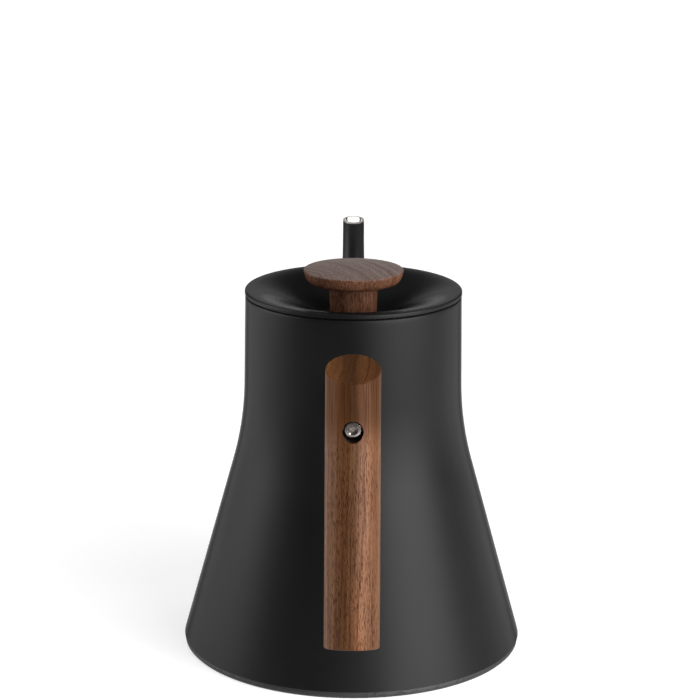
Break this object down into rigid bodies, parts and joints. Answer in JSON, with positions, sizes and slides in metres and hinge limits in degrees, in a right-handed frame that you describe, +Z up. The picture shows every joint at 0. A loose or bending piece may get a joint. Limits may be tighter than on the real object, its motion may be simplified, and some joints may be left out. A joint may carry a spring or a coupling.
{
  "type": "gooseneck kettle",
  "caption": "Pour-over kettle with a flared body, tapering gooseneck spout, lift-off dished lid with a wooden knob, wooden bar grip and a cordless coupler underneath.",
  "frame": {"origin": "centre of the ring the kettle stands on, on the body's axis, at table level", "axes": "+Z up along the body's axis, +Y towards the spout, -Y towards the grip"},
  "size_m": [0.1462, 0.2818, 0.167],
  "materials": {
    "powder_coat": "matte black powder coat on stainless steel",
    "walnut": "oiled walnut",
    "steel": "brushed stainless steel",
    "screw_steel": "bright socket-head screw",
    "silicone": "black silicone",
    "base_plastic": "black moulded plastic, fine grain",
    "aluminium": "cast aluminium",
    "brass": "turned brass",
    "bimetal": "rolled bimetal strip",
    "lead_sleeve": "silicone-sleeved wire"
  },
  "bodies": {
    "kettle": {"body_shell": "powder_coat", "spout": "powder_coat", "spout_neck": "powder_coat", "handle_arm": "powder_coat", "handle_grip": "walnut", "vessel_floor": "steel", "spout_strainer": "steel", "handle_washer": "steel", "temperature_probe": "steel", "probe_clip": "steel", "coupler_screws": "steel", "cover_posts": "steel", "cover_screws": "steel", "handle_screw": "screw_steel", "probe_seal": "silicone", "base_gasket": "silicone", "base_cover": "base_plastic", "coupler_housing": "base_plastic", "heat_plate": "aluminium", "heating_element": "aluminium", "coupler_pin": "brass", "coupler_line_ring": "brass", "coupler_earth_ring": "brass", "element_terminals": "brass", "cutout_discs": "bimetal", "heater_leads": "lead_sleeve", "probe_lead": "lead_sleeve"},
    "lid": {"lid_cover": "powder_coat", "lid_skirt": "steel", "lid_seal": "silicone", "lid_knob": "walnut", "knob_insert": "brass", "knob_screw": "steel", "knob_washer": "steel"}
  },
  "joints": [
    {"name": "lid_lift", "type": "slide", "parent": "kettle", "child": "lid", "axis": [0, 0, 1], "range_m": [0, 0.06]}
  ]
}
